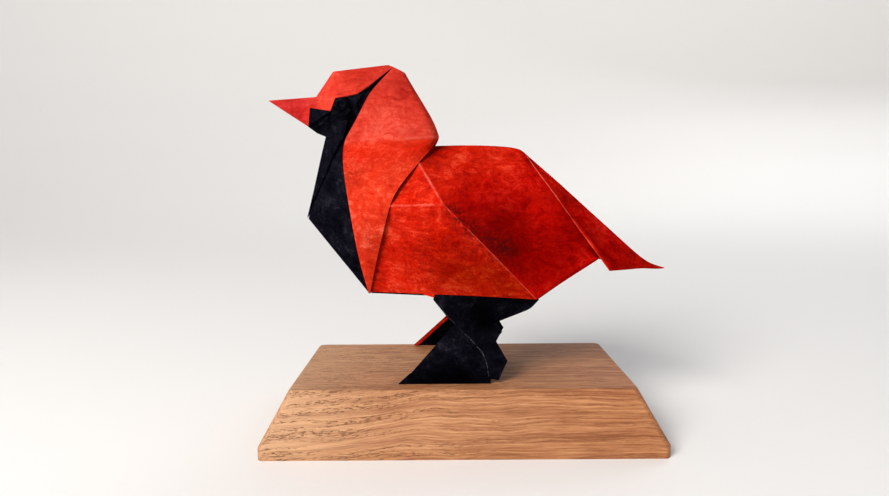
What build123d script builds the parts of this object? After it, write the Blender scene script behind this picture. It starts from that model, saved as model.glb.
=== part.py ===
"""An origami bird folded from one two-coloured sheet, standing on a bevelled oak board.

Millimetres, +Z up. The origin is the centre of the board's underside, the beak points along -X
and the bird's near side faces -Y. The bird is set out in its own frame first: x along the board,
`out` measured from its plane of symmetry and `up` from the soles of its feet.
"""
import os

import numpy as np
from build123d import *

# Oak board
BOARD_LENGTH = 160.0
BOARD_DEPTH = 90.0
BOARD_HEIGHT = 24.4
BOARD_LIP = 4.5  # upright edge below the bevel
BOARD_CORNER = 2.6  # rounding of the corners in plan
BEVEL_RUN = 10.6  # how far the bevel leans in on each side
BOARD_SOFTENING = 0.8  # sanded arrises

# Where the bird stands
BOW_X = -40.6  # lowest point of the breast, from the board's centre
SETBACK = 2.5  # plane of symmetry behind the board's centre line
LEG_STAGGER = 3.5  # far leg behind the near one

# Paper
PLY = 0.45  # thickness of a folded flap
LEG_PLY = 0.9  # the legs are folded several layers thick
FOOT_PLY = 1.7
TUCK_GAP = 0.45  # air left where one flap slides under another

# Heights
LEG_HEIGHT = 33.0  # soles to the wing's lower edge
BODY_DEPTH = 64.0  # wing's lower edge to the back
NECK_RISE = 21.0  # back to the brow

# Body, lengths from the bow
WING_LENGTH = 70.3  # to the wing's rear lower corner
BACK_LENGTH = 66.1  # to the root of the tail
BACK_FALL = 1.6  # drop of the back towards the tail
BACK_ARCH = 1.0  # rise of the back's ridge in its middle
BACK_ROUNDING = 3.6  # swell of the back between ridge and wing
SHOULDER_SETBACK = 33.2  # corner where the three wing facets meet
SHOULDER_OUT = 32.0
SHOULDER_RISE = 40.0  # above the wing's lower edge
FLANK_OUT = 29.0
BELLY_RISE = 4.0  # the belly is folded up between the wings

# Tail, from its root
TAIL_LENGTH = 65.2
TAIL_FALL = 52.8
TAIL_CORNER_SETBACK = 35.5
TAIL_HALF_WIDTH = 20.0
TAIL_CURL = 8.5  # length of the tip that turns up
TAIL_CURL_RISE = 4.9  # tip above the line of the tail's ridge

# Collar
NAPE_SETBACK = 29.1  # from the bow
NAPE_RISE = 10.2  # above the back
NAPE_FALL = 6.2  # from the nape to where its fold opens onto the back
COLLAR_LEAD = 7.8  # front edge ahead of the bow
COLLAR_OUT = 13.5  # front edge
COLLAR_SWELL = 4.2  # outward bow of the front edge
COLLAR_FULLNESS = 10.0  # roundness of the neck
COLLAR_CORNER_SETBACK = 11.4  # where its rear edge turns forward
COLLAR_CORNER_RISE = 39.0

# Head, from the brow
BROW_LEAD = 21.4  # notch between beak and forehead, ahead of the bow
BEAK_LENGTH = 21.0
BEAK_DROP = 1.4
FOREHEAD_RUN = 7.5
FOREHEAD_RISE = 10.6
CROWN_LENGTH = 24.0
CROWN_RISE = 13.3
CHEEK_OUT = 11.5  # half-width of the crown flap's lower edge
EYE_RADIUS = 2.9
EYE_STAND = 5.4  # length of the rolled corner
EYE_WALL = 0.6  # rolled rim
EYE_GROOVE = 0.8

# Chest
THROAT_LEAD = 17.4  # ahead of the bow
CHEST_LEAD = 27.3
CHEST_RISE = 32.4  # foremost point above the wing's lower edge
BAND_WIDTH = 7.0  # pleated throat band

# Legs
STANCE_OUT = 30.2  # outer face of a foot at the board
TOE_SETBACK = 14.4  # from the bow
FOOT_LENGTH = 37.5
FOOT_RISE = 9.8  # fold along the foot's outer face

# Places that follow from these sizes
PROUD = PLY + TUCK_GAP
BACK_UP = LEG_HEIGHT + BODY_DEPTH
BROW_X = BOW_X - BROW_LEAD
BROW_UP = BACK_UP + NECK_RISE
CROWN_FRONT_X = BROW_X + FOREHEAD_RUN
CROWN_FRONT_UP = BROW_UP + FOREHEAD_RISE
CROWN_X = CROWN_FRONT_X + CROWN_LENGTH
CROWN_UP = BROW_UP + CROWN_RISE
THROAT_X = BOW_X - THROAT_LEAD
THROAT_UP = BROW_UP - 16


def at(x, out, up):
    """Point on the bird's near side."""
    return Vector(x, -out, up)


def mirrored(point):
    return Vector(point.X, -point.Y, point.Z)


def between(start, end, share):
    return start + (end - start) * share


def arched(share, lean=1.0):
    """Height of an arch of unit rise, its top nearer to the start where lean is below one."""
    return 4 * share**lean * (1 - share**lean)


def bowed(start, end, bulge, lean=1.0, steps=4):
    """Points from start to end, the middle pushed out sideways by bulge."""
    points = []
    for step in range(steps + 1):
        share = step / steps
        points.append(between(start, end, share) + at(0, bulge * arched(share, lean), 0))
    return points


def strips(rows):
    """Four-sided facets between rows of points, each to be split along its shorter diagonal."""
    facets = []
    for upper, lower in zip(rows, rows[1:]):
        for a, b, c, d in zip(upper, upper[1:], lower[1:], lower):
            facets.append([a, b, c, d] if (c - a).length < (d - b).length else [b, c, d, a])
    return facets


def both_sides(facets):
    far_facets = []
    for facet in facets:
        far_facets.append([mirrored(point) for point in facet[:1] + facet[:0:-1]])
    return facets + far_facets


def flap(facets, ply):
    """Solid of a folded flap: the facets are its outer face, mitred at every crease."""
    points = []
    lookup = {}

    def number(point):
        key = (round(point.X, 4), round(point.Y, 4), round(point.Z, 4))
        if key not in lookup:
            lookup[key] = len(points)
            points.append(np.array(key))
        return lookup[key]

    triangles = []
    normals = {}
    for facet in facets:
        corners = []
        for point in facet:
            corner = number(point)
            if corner not in corners:
                corners.append(corner)
        for second, third in zip(corners[1:], corners[2:]):
            triangle = (corners[0], second, third)
            first_side = points[second] - points[corners[0]]
            second_side = points[third] - points[corners[0]]
            normal = np.cross(first_side, second_side)
            size = np.linalg.norm(normal)
            if size < 1e-6:
                continue
            triangles.append(triangle)
            for corner in triangle:
                normals.setdefault(corner, []).append(normal / size)

    inner = {}
    for corner, around in normals.items():
        inward = np.linalg.lstsq(np.array(around), np.full(len(around), -ply), rcond=0.25)[0]
        if np.linalg.norm(inward) < ply / 4:  # folded nearly flat
            middle = np.sum(around, axis=0)
            inward = -ply * middle / np.linalg.norm(middle)
        inner[corner] = points[corner] + inward

    edges = set()
    for a, b, c in triangles:
        edges.update([(a, b), (b, c), (c, a)])

    faces = []

    def add_face(*corners):
        outline = [Vector(*corner) for corner in corners]
        faces.append(Face(Wire.make_polygon(outline, close=True)))

    for a, b, c in triangles:
        add_face(points[a], points[b], points[c])
        add_face(inner[a], inner[c], inner[b])
    for a, b in sorted(edges):
        if (b, a) not in edges:
            add_face(points[b], points[a], inner[a])
            add_face(points[b], inner[a], inner[b])
    return Solid(Shell(faces))


# Corners of the wing
BOW = at(BOW_X + 0.6, 1.4, LEG_HEIGHT)
SHOULDER = at(BOW_X + SHOULDER_SETBACK, SHOULDER_OUT, LEG_HEIGHT + SHOULDER_RISE)
FLANK = at(BOW_X + WING_LENGTH, FLANK_OUT, LEG_HEIGHT + 1.6)
TAIL_ROOT = at(BOW_X + BACK_LENGTH, 0, BACK_UP - BACK_FALL)
TAIL_CORNER = TAIL_ROOT + at(TAIL_CORNER_SETBACK, TAIL_HALF_WIDTH, 2.2 - TAIL_FALL)


def on_wing(x, up):
    """Point of the wing's large flat facet, through bow, flank and shoulder."""
    normal = (FLANK - BOW).cross(SHOULDER - BOW)
    y = BOW.Y - (normal.X * (x - BOW.X) + normal.Z * (up - BOW.Z)) / normal.Y
    return Vector(x, y, up)


def collar_rows():
    """Points of the collar, row by row from the head down to the bow, each from rear to front."""
    nape = at(BOW_X + NAPE_SETBACK, 0, BACK_UP + NAPE_RISE)
    nape_foot = nape + at(2.3, 0, -NAPE_FALL)
    tuft = at(CROWN_X + 6.6, 0, CROWN_UP - 3.4)
    hood = at(CROWN_X + 2.2, 0, CROWN_UP - 1.2)
    hood_edge = hood + at(-0.6, 0.4, -0.1)
    throat_edge = at(BOW_X - COLLAR_LEAD, COLLAR_OUT, BACK_UP)
    bow = at(BOW_X, 2.4, LEG_HEIGHT - 0.4)

    def rear(share):
        x = BOW_X + COLLAR_CORNER_SETBACK * share
        return on_wing(x, LEG_HEIGHT + COLLAR_CORNER_RISE * share) + at(0, PROUD, 0)

    def upper(share):
        """Free edge from the head down to the throat."""
        return between(hood_edge, throat_edge, share) + at(-2, COLLAR_SWELL, 0) * arched(share)

    def lower(share):
        """Edge beside the chest, from the throat down to the bow."""
        return between(throat_edge, bow, share) + at(-2, COLLAR_SWELL, 0) * arched(share)

    corner = rear(1)
    shoulder_edge = nape + at(-5.3, 17.8, -17)
    stations = [
        (between(hood, tuft, 0.12), upper(0.07), 0.06, 0.7),
        (between(hood, tuft, 0.6), upper(0.11), 0.14, 0.7),
        (tuft, upper(0.17), 0.26, 0.7),
        (between(tuft, nape, 0.1), upper(0.3), 0.46, 0.7),
        (between(tuft, nape, 0.45), upper(0.43), 0.72, 0.7),
        (between(tuft, nape, 0.85), upper(0.6), 0.9, 0.7),
        (between(nape, nape_foot, 0.3), upper(0.78), 0.98, 0.7),
        (nape_foot, upper(0.91), 1, 0.7),
        (between(nape_foot, shoulder_edge, 0.15), throat_edge, 0.9, 0.7),
        (between(nape_foot, shoulder_edge, 0.57), lower(0.06), 0.66, 0.8),
        (shoulder_edge, lower(0.14), 0.42, 0.9),
        (between(shoulder_edge, corner, 0.68) + at(-1, 0.5, 1.2), lower(0.27), 0.24, 1),
        (corner, lower(0.42), 0.18, 1),
        (rear(0.61), lower(0.64), 0.12, 1),
        (rear(0.3), lower(0.82), 0.06, 1),
        (bow, bow, 0, 1),
    ]
    rows = []
    for start, end, full, lean in stations:
        rows.append(bowed(start, end, full * COLLAR_FULLNESS, lean, steps=6))
    return rows


COLLAR = collar_rows()


def collar():
    return flap(both_sides(strips(COLLAR)), PLY)


def tucked(rows, end, depth):
    """Points just under the ends of collar rows, and points inside the collar's own ply."""
    edges = []
    anchors = []
    for row in rows:
        inward = min(depth, -0.7 * row[end].Y)
        edges.append(row[end] + at(0, -inward, -0.2 * depth))
        anchors.append(row[2 if end == 0 else -3] + at(0, -PLY / 2, 0))
    return edges, anchors


def body():
    """Back, wing facets, belly and vent."""
    edges, anchors = tucked(COLLAR[9:15], 0, PROUD)
    nape_edge = COLLAR[7][0] + at(0.4, 0, -2.6)
    nape_anchor = COLLAR[6][0] + at(-PLY, 0, -2)

    def neckline(top, points):
        return [top, between(top, points[0], 0.5), points[0], between(points[0], points[1], 0.5), points[1]]

    rump = between(TAIL_ROOT, TAIL_CORNER, 0.9) + at(-0.5, -PROUD, -PROUD)
    saddle = at(SHOULDER.X + 5, 0, BACK_UP + 0.6)
    wing_fold = [between(SHOULDER, FLANK, share / 4) for share in range(5)]
    back = [neckline(nape_anchor, anchors), neckline(nape_edge, edges)]
    for index, foot in enumerate(wing_fold):
        share = index / 4
        ridge = between(saddle, TAIL_ROOT, share) + at(0, 0, BACK_ARCH * arched(share))
        back.append(bowed(ridge, foot, BACK_ROUNDING * (1 - 0.3 * share)))
    back.append(bowed(TAIL_ROOT + at(1.6, 0, -1.1), between(FLANK, rump, 0.5), 0.35 * BACK_ROUNDING))
    back.append(bowed(TAIL_ROOT + at(2.9, 0, -2.4), rump, 0))
    keel_front = at(BOW.X, 0, BOW.Z + 0.4)
    keel_rear = at(FLANK.X, 0, LEG_HEIGHT + BELLY_RISE)
    vent = at(TAIL_CORNER.X - 5, 0, LEG_HEIGHT + 0.42 * BODY_DEPTH)

    facets = strips(back) + strips([anchors[1:], edges[1:]])
    facets += [
        [SHOULDER, edges[1], edges[2], edges[3]],
        [edges[3]] + wing_fold[::-1],
        [FLANK, edges[3], edges[4], edges[5], BOW],
        [BOW, edges[5], anchors[5]],
        [BOW, keel_front, keel_rear, FLANK],
        [vent, rump, between(FLANK, rump, 0.5), FLANK, keel_rear],
    ]
    return flap(both_sides(facets), PLY)


def tail():
    root = TAIL_ROOT + at(-2, 0, PROUD)
    tip = TAIL_ROOT + at(TAIL_LENGTH, 0, -TAIL_FALL)
    bend = between(root, tip + at(0, 0, -TAIL_CURL_RISE), 1 - TAIL_CURL / TAIL_LENGTH)
    curl = between(bend, tip, 0.48) + at(0, 0, -0.07 * TAIL_CURL_RISE)
    facets = [[root, TAIL_CORNER, bend], [bend, TAIL_CORNER, curl], [curl, TAIL_CORNER, tip]]
    return flap(both_sides(facets), PLY)


def chest():
    throat = at(THROAT_X + PROUD / 2, 0, THROAT_UP)
    apex = at(BOW_X - CHEST_LEAD + PROUD / 2, 0, LEG_HEIGHT + CHEST_RISE)
    bow = at(BOW_X - 0.6, 0, LEG_HEIGHT - 0.6)
    edges, anchors = tucked(COLLAR[7:15], -1, 2 * PROUD)
    facets = strips([edges, anchors])
    facets.append([throat, apex] + edges[4::-1])
    facets.append([apex, bow] + edges[:3:-1])
    return flap(both_sides(facets), PLY)


def throat_band():
    """Long pleat that hangs from the mask down to the point of the chest."""
    throat = at(THROAT_X, 0, THROAT_UP + 0.3)
    apex = at(BOW_X - CHEST_LEAD, 0, LEG_HEIGHT + CHEST_RISE)
    keel = [between(throat, apex, share) for share in (0, 0.34, 0.73, 0.97)]
    rear = [
        keel[0] + at(1.05, 1.5, -0.5) * BAND_WIDTH,
        keel[1] + at(0.92, 0.94, 0.3) * BAND_WIDTH,
        keel[2] + at(0.88, 0.6, 1.15) * BAND_WIDTH,
        keel[3] + at(0.4, 0.2, 1.05) * BAND_WIDTH,
    ]
    head = [
        throat + at(6.2, BAND_WIDTH + 3, 5.8),
        throat + at(1.2, 0.8 * BAND_WIDTH, 1.9),
        throat,
        rear[0],
        throat + at(9, BAND_WIDTH + 4.8, -2),
        throat + at(11, BAND_WIDTH + 5.4, 5),
    ]
    return flap(both_sides([head] + strips([keel, rear])), PROUD)


def crown():
    """Crown, face and beak."""
    tip = at(BROW_X - BEAK_LENGTH, 0, BROW_UP - BEAK_DROP)
    brow = at(BROW_X, 0, BROW_UP)
    front = at(CROWN_FRONT_X, 0, CROWN_FRONT_UP)
    top = at(CROWN_X, 0, CROWN_UP)
    back = top + at(2.1, 0, -1)
    temple = top + at(-7.6, CHEEK_OUT - 3.1, -9.7)
    ear = top + at(-12.2, CHEEK_OUT - 0.3, -13.4)
    lid_rear = front + at(6.7, CHEEK_OUT - 0.3, -11.8)
    lid = front + at(2.5, CHEEK_OUT - 1, -12.4)
    cheek = front + at(0.6, CHEEK_OUT - 1.5, -17.6)
    gape = brow + at(-1.5, CHEEK_OUT - 5, -5.2)
    jaw = brow + at(-2.7, CHEEK_OUT - 6.5, -12.8)
    lip = tip + at(0.3 * BEAK_LENGTH, 1.7, -4)
    upper = [
        [tip, lip, brow],
        [brow, lip, jaw, gape],
        [brow, gape, cheek, lid],
        [front, brow, lid],
        [top, front, lid, lid_rear, ear],
        [top, ear, temple, back],
    ]
    under = [
        [tip, mirrored(lip), lip],
        [lip, mirrored(lip), jaw],
        [mirrored(lip), mirrored(jaw), jaw],
    ]
    return flap(both_sides(upper) + under, PLY)


def mask():
    """Dark face below the crown flap, tucked under the collar all the way up to the head."""
    inset = CHEEK_OUT - 1.4
    lid = at(CROWN_FRONT_X + 3, inset - 1, CROWN_FRONT_UP - 11)
    ear = at(CROWN_X - 12, inset, CROWN_UP - 12)
    cheek = at(CROWN_FRONT_X + 1, inset - 1.5, CROWN_FRONT_UP - 16.5)
    gape = at(BROW_X, inset - 5, BROW_UP - 5)
    jaw = at(BROW_X - 0.5, inset - 5.5, BROW_UP - 12)
    chin = at(BROW_X + 0.5, 0, THROAT_UP + 0.4)
    throat = at(THROAT_X + 0.5, 0, THROAT_UP - 0.4)
    band = throat + at(BAND_WIDTH - 0.5, BAND_WIDTH, -3.6)
    hood = at(CROWN_X - 1, 0, CROWN_UP - 2 * PLY)
    hood_front = hood + at(-0.25 * CROWN_LENGTH, 0, -PLY)
    edges, anchors = tucked(COLLAR[2:9], -1, 2 * PROUD)
    facets = strips([edges, anchors])
    facets += [
        [gape, jaw, cheek],
        [jaw, chin, cheek],
        [chin, throat, band],
        [chin, band, cheek],
        [cheek, band] + edges[:2:-1] + [ear, lid],
        [ear] + edges[3::-1] + [hood, hood_front],
    ]
    return flap(both_sides(facets), PLY)


def eye():
    """Rolled corner of the sheet: a rim, a groove and a domed core."""
    bore = EYE_RADIUS - EYE_WALL
    core = bore - EYE_WALL
    floor = EYE_STAND - EYE_GROOVE
    rim = Polyline((0, 0), (EYE_RADIUS, 0), (EYE_RADIUS, EYE_STAND), (bore, EYE_STAND), (bore, floor), (core, floor))
    dome = CenterArc((0, floor), core, 0, 90)
    profile = make_face(rim + dome + Line((0, floor + core), (0, 0)))
    place = at(CROWN_FRONT_X + 5.1, CHEEK_OUT - 5, CROWN_FRONT_UP - 15.4)
    return Pos(place) * Rot(0, 0, 180) * revolve(profile, Axis.Y)


def leg():
    """Thigh, pleated hock and long foot of the near leg."""
    step = LEG_HEIGHT / 33
    toe = at(BOW_X + TOE_SETBACK, STANCE_OUT, 0)
    heel = toe + at(FOOT_LENGTH, 0, 0)
    toe_ridge = toe + at(5.3, 0, 0.49 * FOOT_RISE)
    foot_ridge = toe + at(0.64 * FOOT_LENGTH, 0, FOOT_RISE)
    heel_ridge = heel + at(0.6, 0, 0.92 * FOOT_RISE)
    ankle = toe + at(0.62 * FOOT_LENGTH, -7.9, 23 * step)
    knee = heel + at(-9, -6.5, 18 * step)
    shin = heel + at(-0.5, -3, 13 * step)
    foot = flap(
        [
            [toe, heel, heel_ridge, foot_ridge, toe_ridge],
            [toe_ridge, foot_ridge, ankle],
            [foot_ridge, heel_ridge, shin, knee, ankle],
        ],
        FOOT_PLY,
    )

    front = on_wing(BOW.X + 0.4 * WING_LENGTH, LEG_HEIGHT + 0.7) + at(0, -PROUD, 0)
    rear = FLANK + at(0.6, -2 * PROUD, 0.4)
    rear_low = rear + at(-3.3, -0.3, -3.5)
    hock = heel + at(2.3, -4.8, 24.3 * step)
    pleat_out = heel + at(4.9, -3.9, 20.4 * step)
    pleat_in = heel + at(2.2, -3.9, 17.1 * step)
    spur = heel + at(7, -1.8, 9 * step)
    spur_low = heel + at(3.3, -0.6, 1.2)
    crease = [
        heel + at(-12, -7.9, 20.5 * step),
        heel + at(-8.8, -6.7, 18 * step),
        heel + at(-3.1, -3.4, 12.2 * step),
        heel + at(-1.6, -1.4, 8.2 * step),
        heel + at(-0.5, 0.4, 2.5 * step),
    ]
    shank = flap(
        [
            [front + at(2, 0.5, 8), front, rear_low, rear, rear + at(-9, -3, 8)],
            [front, crease[0], hock, rear_low],
            [hock, crease[0], crease[1], pleat_in, pleat_out],
            [pleat_in, crease[1], crease[2], crease[3], spur],
            [spur, crease[3], crease[4], spur_low],
        ],
        LEG_PLY,
    )
    return foot, shank


def bird():
    pieces = [body(), tail(), chest(), throat_band(), crown(), mask(), eye(), mirror(eye(), Plane.XZ)]
    for piece in leg():
        pieces.append(piece)
        pieces.append(Pos(LEG_STAGGER, 0, 0) * mirror(piece, Plane.XZ))
    whole = Part() + collar()
    for piece in pieces:
        whole += piece
    return Pos(0, SETBACK, BOARD_HEIGHT) * whole


def board():
    outline = RectangleRounded(BOARD_LENGTH, BOARD_DEPTH, BOARD_CORNER)
    top = RectangleRounded(BOARD_LENGTH - 2 * BEVEL_RUN, BOARD_DEPTH - 2 * BEVEL_RUN, BOARD_CORNER)
    lip = extrude(outline, BOARD_LIP)
    bevel = loft([Pos(0, 0, BOARD_LIP) * outline, Pos(0, 0, BOARD_HEIGHT) * top])
    block = lip + bevel
    arrises = block.edges().filter_by(Plane.XY).filter_by(lambda edge: edge.center().Z > 0.1)
    return fillet(arrises, BOARD_SOFTENING)


os.makedirs("parts", exist_ok=True)
export_step(bird(), "parts/folded_bird.step")
export_step(board(), "parts/oak_board.step")
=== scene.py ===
"""Looks of the origami bird on its oak board: fibrous red and black paper, creased and worn, and oiled oak."""

import math

import bmesh
import bpy
import numpy as np
from mathutils import Matrix, Vector, noise


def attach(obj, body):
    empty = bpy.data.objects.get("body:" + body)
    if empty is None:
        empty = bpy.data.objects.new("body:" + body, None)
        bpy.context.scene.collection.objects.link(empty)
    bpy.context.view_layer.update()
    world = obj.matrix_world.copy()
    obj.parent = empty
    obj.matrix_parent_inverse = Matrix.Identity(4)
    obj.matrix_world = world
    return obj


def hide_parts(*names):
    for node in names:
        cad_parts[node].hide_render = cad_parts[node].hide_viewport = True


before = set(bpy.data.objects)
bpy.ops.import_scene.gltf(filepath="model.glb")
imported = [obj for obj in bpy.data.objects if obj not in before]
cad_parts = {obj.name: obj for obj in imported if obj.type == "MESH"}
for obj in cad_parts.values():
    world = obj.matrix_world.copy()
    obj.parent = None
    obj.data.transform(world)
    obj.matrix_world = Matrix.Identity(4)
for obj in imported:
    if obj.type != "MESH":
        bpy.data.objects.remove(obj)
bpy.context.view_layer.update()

MM = 0.001
SETBACK = 2.5  # middle plane of the bird behind the board's centre line, mm
BOARD_TOP = 24.4  # above the floor, mm
LEG_STAGGER = 3.5  # far leg behind the near one, mm
PLY = 0.45  # single sheet, mm
SMALL_PLY = 0.4  # small folds
TURN_PLY = 0.3  # turned edge of the far foot
COLLAR_PLY = 0.7
BAND_PLY = 0.6
LEG_PLY = 0.9
FOOT_PLY = 1.7
ROW_STEPS = 4  # strips across a row of fold points
NECK_FALL_OFF = 0.55  # how the neck's roundness dies away towards its front edge
FOLD_WIDTH = 0.0003  # rounding of a pressed fold, m
FOLD_ANGLE = 14  # bends flatter than this stay as they are, degrees
SHADING_ANGLE = 40  # edges sharper than this are shaded as edges, degrees
SAME_PLACE = 1e-6  # corners closer than this are one, m
NO_AREA = 2e-6  # edges and faces smaller than this are taken out, m
SWELL_SEED = 11
SWELL_SCALE = 38.0
SWELL_HEIGHT = 0.00028  # m
SWELL_RISE = 0.03  # height above the soles at which the swells are full, m
FAR_FROM_FOLDS = 0.02  # m
TURN_FROM = 0.02  # panels that face this far towards the tail begin to take painted shade
TURN_OVER = 0.3  # and take it fully, with no shade left, this much further
# LIT_RED is a paler, pinker copy of the red paper for the collar and head: painted light
RED, BLACK, CUT_EDGE, LIT_RED = 0, 1, 2, 3  # places in PAPERS


# Shader maths


class Value:
    """A shader socket that takes part in Python expressions."""

    def __init__(self, paint, socket):
        self.paint = paint
        self.socket = socket

    def math(self, operation, *others):
        inputs = dict(enumerate((self,) + others))
        return self.paint.node("ShaderNodeMath", {"operation": operation}, inputs)

    def __add__(self, other):
        return self.math("ADD", other)

    __radd__ = __add__

    def __sub__(self, other):
        return self.math("SUBTRACT", other)

    def __rsub__(self, other):
        return self.paint.node("ShaderNodeMath", {"operation": "SUBTRACT"}, {0: other, 1: self})

    def __mul__(self, other):
        return self.math("MULTIPLY", other)

    __rmul__ = __mul__

    def near(self, level, reach):
        """One where the value is at a level, falling to nothing at a reach either side."""
        return (self - level).math("ABSOLUTE").from_to(0.0, reach, 1.0, 0.0)

    def from_to(self, low, high, new_low=0.0, new_high=1.0):
        """Value carried from one range to another, smoothly and clamped."""
        inputs = {"Value": self, "From Min": low, "From Max": high, "To Min": new_low, "To Max": new_high}
        settings = {"interpolation_type": "SMOOTHSTEP"}
        return self.paint.node("ShaderNodeMapRange", settings, inputs)


class Paint:
    """A material and the nodes that feed its surface."""

    def __init__(self, name):
        self.material = bpy.data.materials.new(name)
        self.material.use_nodes = True
        self.nodes = self.material.node_tree.nodes
        self.links = self.material.node_tree.links
        self.surface = self.nodes["Principled BSDF"]
        self.place = self.node("ShaderNodeTexCoord", output="Object")

    def node(self, kind, settings=None, inputs=None, output=0):
        made = self.nodes.new(kind)
        for key, setting in (settings or {}).items():
            if key == "stops":
                self.set_stops(made.color_ramp, setting)
            else:
                setattr(made, key, setting)
        for key, given in (inputs or {}).items():
            self.feed(made.inputs[key], given)
        return Value(self, made.outputs[output])

    def feed(self, socket, given):
        if isinstance(given, Value):
            self.links.new(given.socket, socket)
        else:
            socket.default_value = given

    def set_stops(self, ramp, stops):
        for index, (position, colour) in enumerate(stops):
            stop = ramp.elements[index] if index < 2 else ramp.elements.new(position)
            stop.position = position
            stop.color = (*colour, 1.0)

    def noise(self, scale, detail=4.0, rough=0.55, warp=0.0, place=None):
        inputs = {"Vector": place or self.place, "Scale": scale, "Detail": detail}
        inputs.update({"Roughness": rough, "Distortion": warp})
        return self.node("ShaderNodeTexNoise", None, inputs)

    def turned(self, angles, stretch, place=None):
        """Coordinates turned by angles in degrees, then stretched."""
        turn = tuple(math.radians(angle) for angle in angles)
        inputs = {"Vector": place or self.place, "Rotation": turn, "Scale": stretch}
        return self.node("ShaderNodeMapping", {"vector_type": "POINT"}, inputs)

    def split(self, vector):
        first = self.node("ShaderNodeSeparateXYZ", None, {0: vector})
        return [Value(self, output) for output in first.socket.node.outputs]

    def mix(self, share, first, second, blend="MIX"):
        settings = {"data_type": "RGBA", "blend_type": blend}
        return self.node("ShaderNodeMix", settings, {0: share, 6: first, 7: second}, 2)

    def ramp(self, value, stops):
        return self.node("ShaderNodeValToRGB", {"stops": stops}, {"Fac": value})

    def attribute(self, name):
        return self.node("ShaderNodeAttribute", {"attribute_name": name}, None, "Fac")

    def bump(self, height, depth, strength=1.0):
        inputs = {"Height": height, "Distance": depth, "Strength": strength}
        return self.node("ShaderNodeBump", None, inputs)

    def finish(self, **sockets):
        for name, given in sockets.items():
            self.feed(self.surface.inputs[name.replace("_", " ")], given)
        return self.material


# Ramps of the paper's tone, from dark to light
DEEP_RED = [
    (0.38, (0.150, 0.0010, 0.0003)),
    (0.46, (0.340, 0.0040, 0.0008)),
    (0.53, (0.520, 0.0120, 0.0028)),
    (0.62, (0.740, 0.0660, 0.0290)),
]
# Collar and head: paler and more orange than the deep red, and pinker above the neck's crease: painted light
ORANGE_RED = [
    (0.38, (0.264, 0.0055, 0.0015)),
    (0.46, (0.425, 0.0156, 0.0045)),
    (0.53, (0.550, 0.0300, 0.0102)),
    (0.62, (0.725, 0.1050, 0.0580)),
]
PINK_RED = [
    (0.38, (0.305, 0.0095, 0.0050)),
    (0.46, (0.460, 0.0235, 0.0130)),
    (0.53, (0.570, 0.0415, 0.0240)),
    (0.62, (0.690, 0.1010, 0.0670)),
]
BLUE_BLACK = [
    (0.40, (0.0010, 0.0010, 0.0022)),
    (0.54, (0.0044, 0.0042, 0.0076)),
    (0.66, (0.0280, 0.0265, 0.0360)),
]
CUT_RED = [
    (0.35, (0.09, 0.006, 0.006)),
    (0.65, (0.30, 0.020, 0.014)),
]
OAK_BROWN = [
    (0.34, (0.530, 0.270, 0.124)),
    (0.50, (0.385, 0.168, 0.071)),
    (0.66, (0.225, 0.080, 0.029)),
]

# Tints that the paper's colour is multiplied by
# painted shade of the band below the neck's crease
ORANGE_TINT = (0.94, 0.42, 0.30, 1)
# painted shade at the top of the nape
NAPE_TINT = (0.70, 0.54, 0.66, 1)
BEAK_TINT = (0.82, 0.62, 1.0, 1)
# painted shade on panels turned towards the tail, away from the window light: crimson, then darker
CRIMSON_TINT = (0.96, 0.34, 0.50, 1)
TAILWARD_SHADE_TINT = (0.42, 0.16, 0.06, 1)
SHADE_TINT = (0.48, 0.45, 0.10, 1)

# Colours of single marks
DARK_HAIR = (0.090, 0.003, 0.002, 1)
PALE_HAIR = (0.86, 0.130, 0.070, 1)
# painted shade in dark blotches
SHADE_BLOTCH = (0.045, 0.003, 0.003, 1)
# painted highlight on the neck's crease
CREASE_HIGHLIGHT = (0.86, 0.18, 0.13, 1)
# rubbed folds, and the painted highlight along the tail's edge
RUBBED_AND_LIT_RED = (0.88, 0.16, 0.11, 1)
GREY_HAIR = (0.034, 0.033, 0.044, 1)
DEEP_SHADE = (0.0001, 0.0001, 0.0002, 1)
RUBBED_BLACK = (0.17, 0.16, 0.175, 1)

# Colours of the oak's marks, and the tint of its tail end
PALE_OAK = (0.600, 0.360, 0.200, 1)
LATE_WOOD = (0.200, 0.070, 0.022, 1)
RAY_BROWN = (0.230, 0.082, 0.032, 1)
PORE_BROWN = (0.110, 0.040, 0.014, 1)
TAIL_END_TINT = (0.92, 0.77, 0.66, 1)

CREASE_SLOPE = 0.065  # rise of the crease round the neck, towards the nape


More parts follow.
